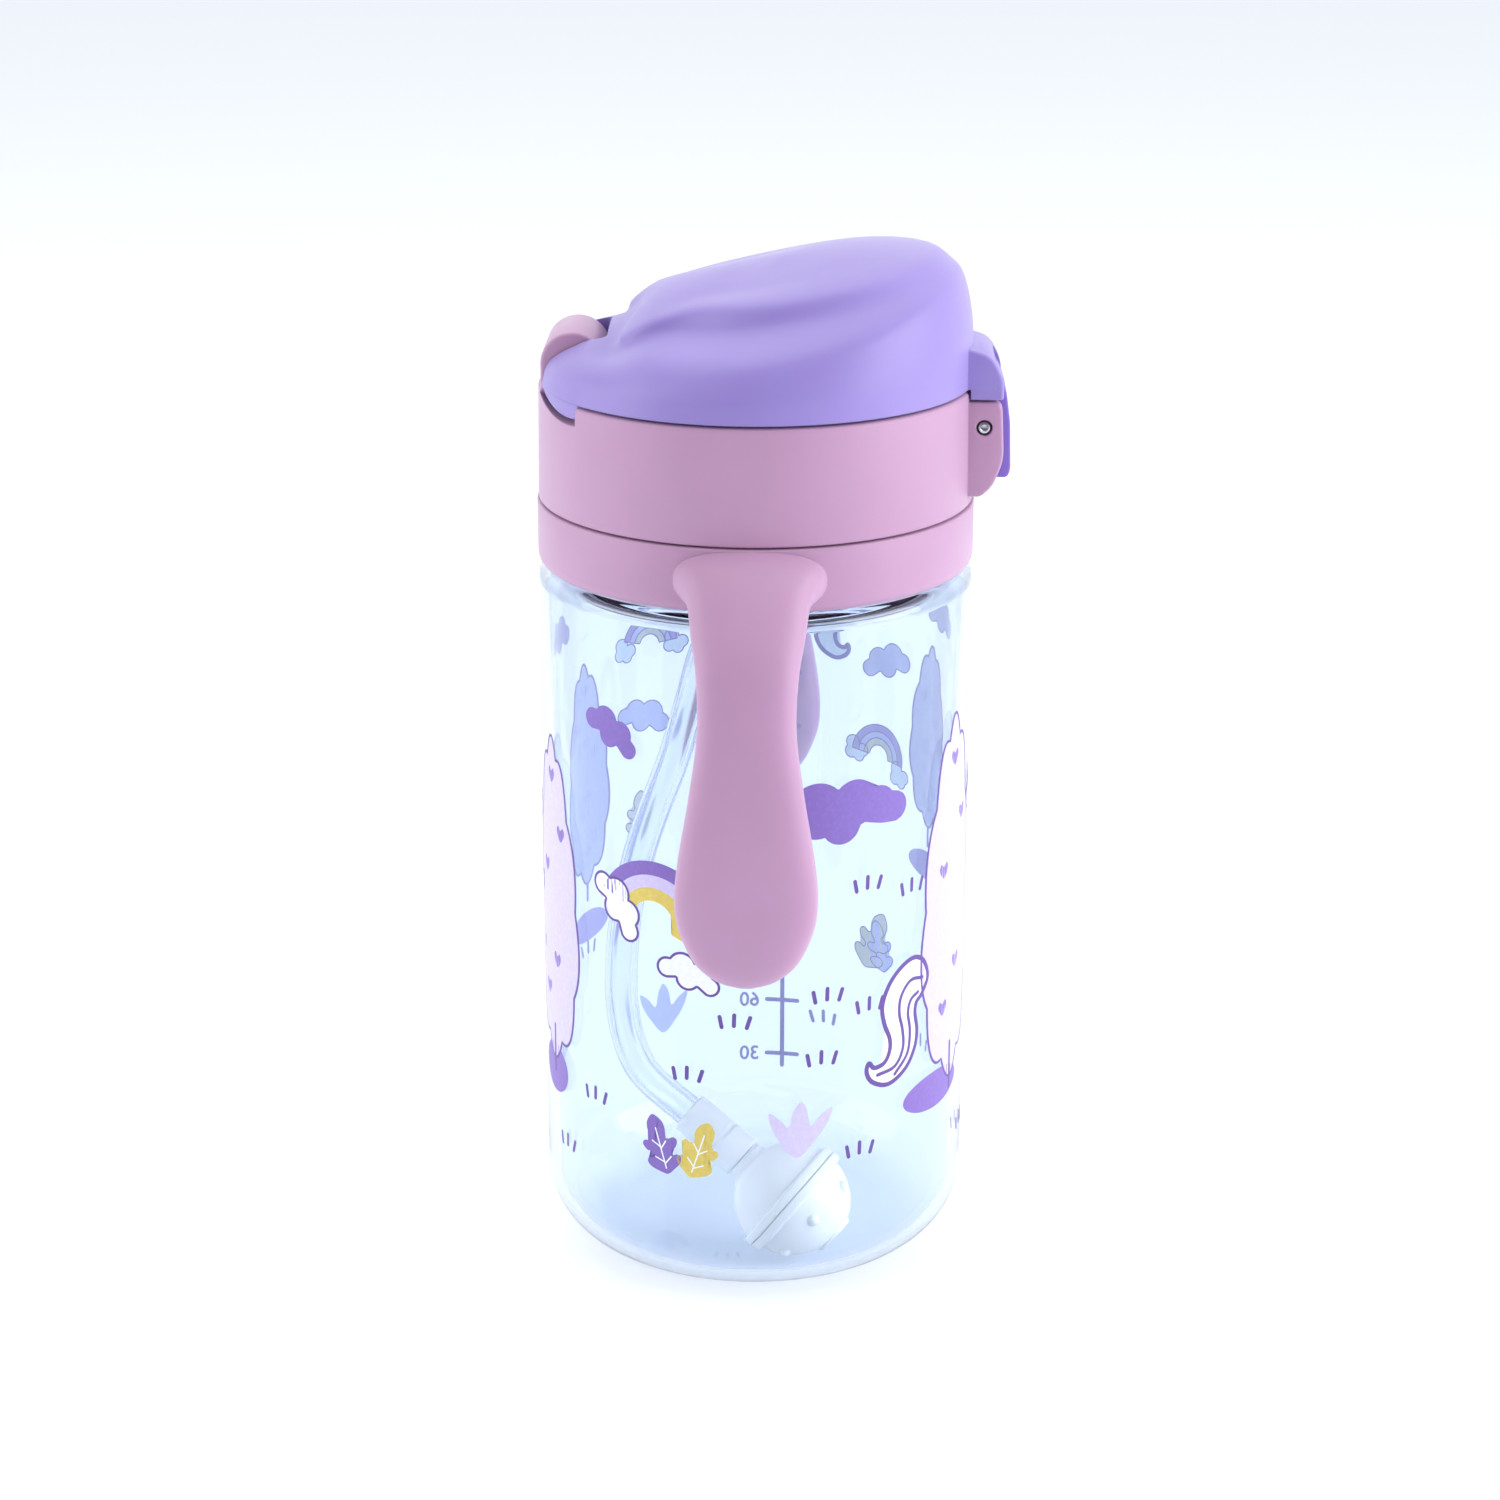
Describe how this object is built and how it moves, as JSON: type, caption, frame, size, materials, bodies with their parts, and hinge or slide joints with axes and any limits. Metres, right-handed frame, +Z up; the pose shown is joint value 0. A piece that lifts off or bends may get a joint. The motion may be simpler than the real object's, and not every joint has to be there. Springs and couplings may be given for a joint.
{
  "type": "kids water bottle",
  "caption": "Clear straw bottle for children with a two-handled neck ring, a screw lid, a sprung flip cap held by a push latch, and a weighted silicone straw inside.",
  "frame": {"origin": "centre of the cup's flat base", "axes": "+Z up along the bottle, +X towards the latch, -X towards the cap's hinge, the handles on -Y and +Y"},
  "size_m": [0.0712, 0.1008, 0.1585],
  "materials": {
    "clear_cup": "clear blue-tinted copolyester, polished",
    "pink_plastic": "satin moulded polypropylene",
    "lavender_plastic": "satin moulded polypropylene",
    "purple_plastic": "satin moulded polypropylene",
    "white_plastic": "white moulded polypropylene",
    "silicone": "translucent silicone",
    "steel": "plain drawn steel"
  },
  "bodies": {
    "bottle": {"bottle_body": "clear_cup"},
    "handles": {"handle_ring": "pink_plastic"},
    "seal": {"neck_gasket": "silicone"},
    "lid": {"lid_collar": "pink_plastic", "nozzle_plate": "white_plastic", "spout": "silicone", "vent_valve": "silicone", "hinge_spring": "steel", "latch_pin": "steel", "latch_spring": "steel"},
    "cap": {"flip_cap": "lavender_plastic", "cap_stopper": "silicone", "hinge_pin": "steel"},
    "latch": {"latch_lever": "purple_plastic"},
    "straw": {"straw_tube": "silicone", "straw_connector": "white_plastic", "weight_top_shell": "white_plastic", "weight_bottom_shell": "white_plastic", "weight_seal": "silicone", "weight_core": "steel"}
  },
  "joints": [
    {"name": "handle_turn", "type": "hinge", "parent": "bottle", "child": "handles", "pos_m": [0, 0, 0.1153], "axis": [0, 0, 1], "continuous": true},
    {"name": "lid_rise", "type": "slide", "parent": "bottle", "child": "seal", "axis": [0, 0, 1], "range_m": [0, 0.0061]},
    {"name": "lid_unscrew", "type": "hinge", "parent": "seal", "child": "lid", "pos_m": [0, 0, 0.1291], "axis": [0, 0, 1], "range_deg": [0, 540]},
    {"name": "cap_open", "type": "hinge", "parent": "lid", "child": "cap", "pos_m": [-0.027, 0, 0.1413], "axis": [0, -1, 0], "range_deg": [0, 120]},
    {"name": "latch_press", "type": "hinge", "parent": "lid", "child": "latch", "pos_m": [0.03405, 0, 0.1325], "axis": [0, 1, 0], "range_deg": [0, 12], "stiffness_Nm_per_rad": 0.02, "springref_deg": -2.86},
    {"name": "straw_swivel", "type": "hinge", "parent": "lid", "child": "straw", "pos_m": [0, 0, 0.1239], "axis": [0, 0, 1], "continuous": true}
  ],
  "couplings": [
    {"joint": "lid_rise", "follows": "lid_unscrew", "m_per_rad": 0.00063662}
  ]
}
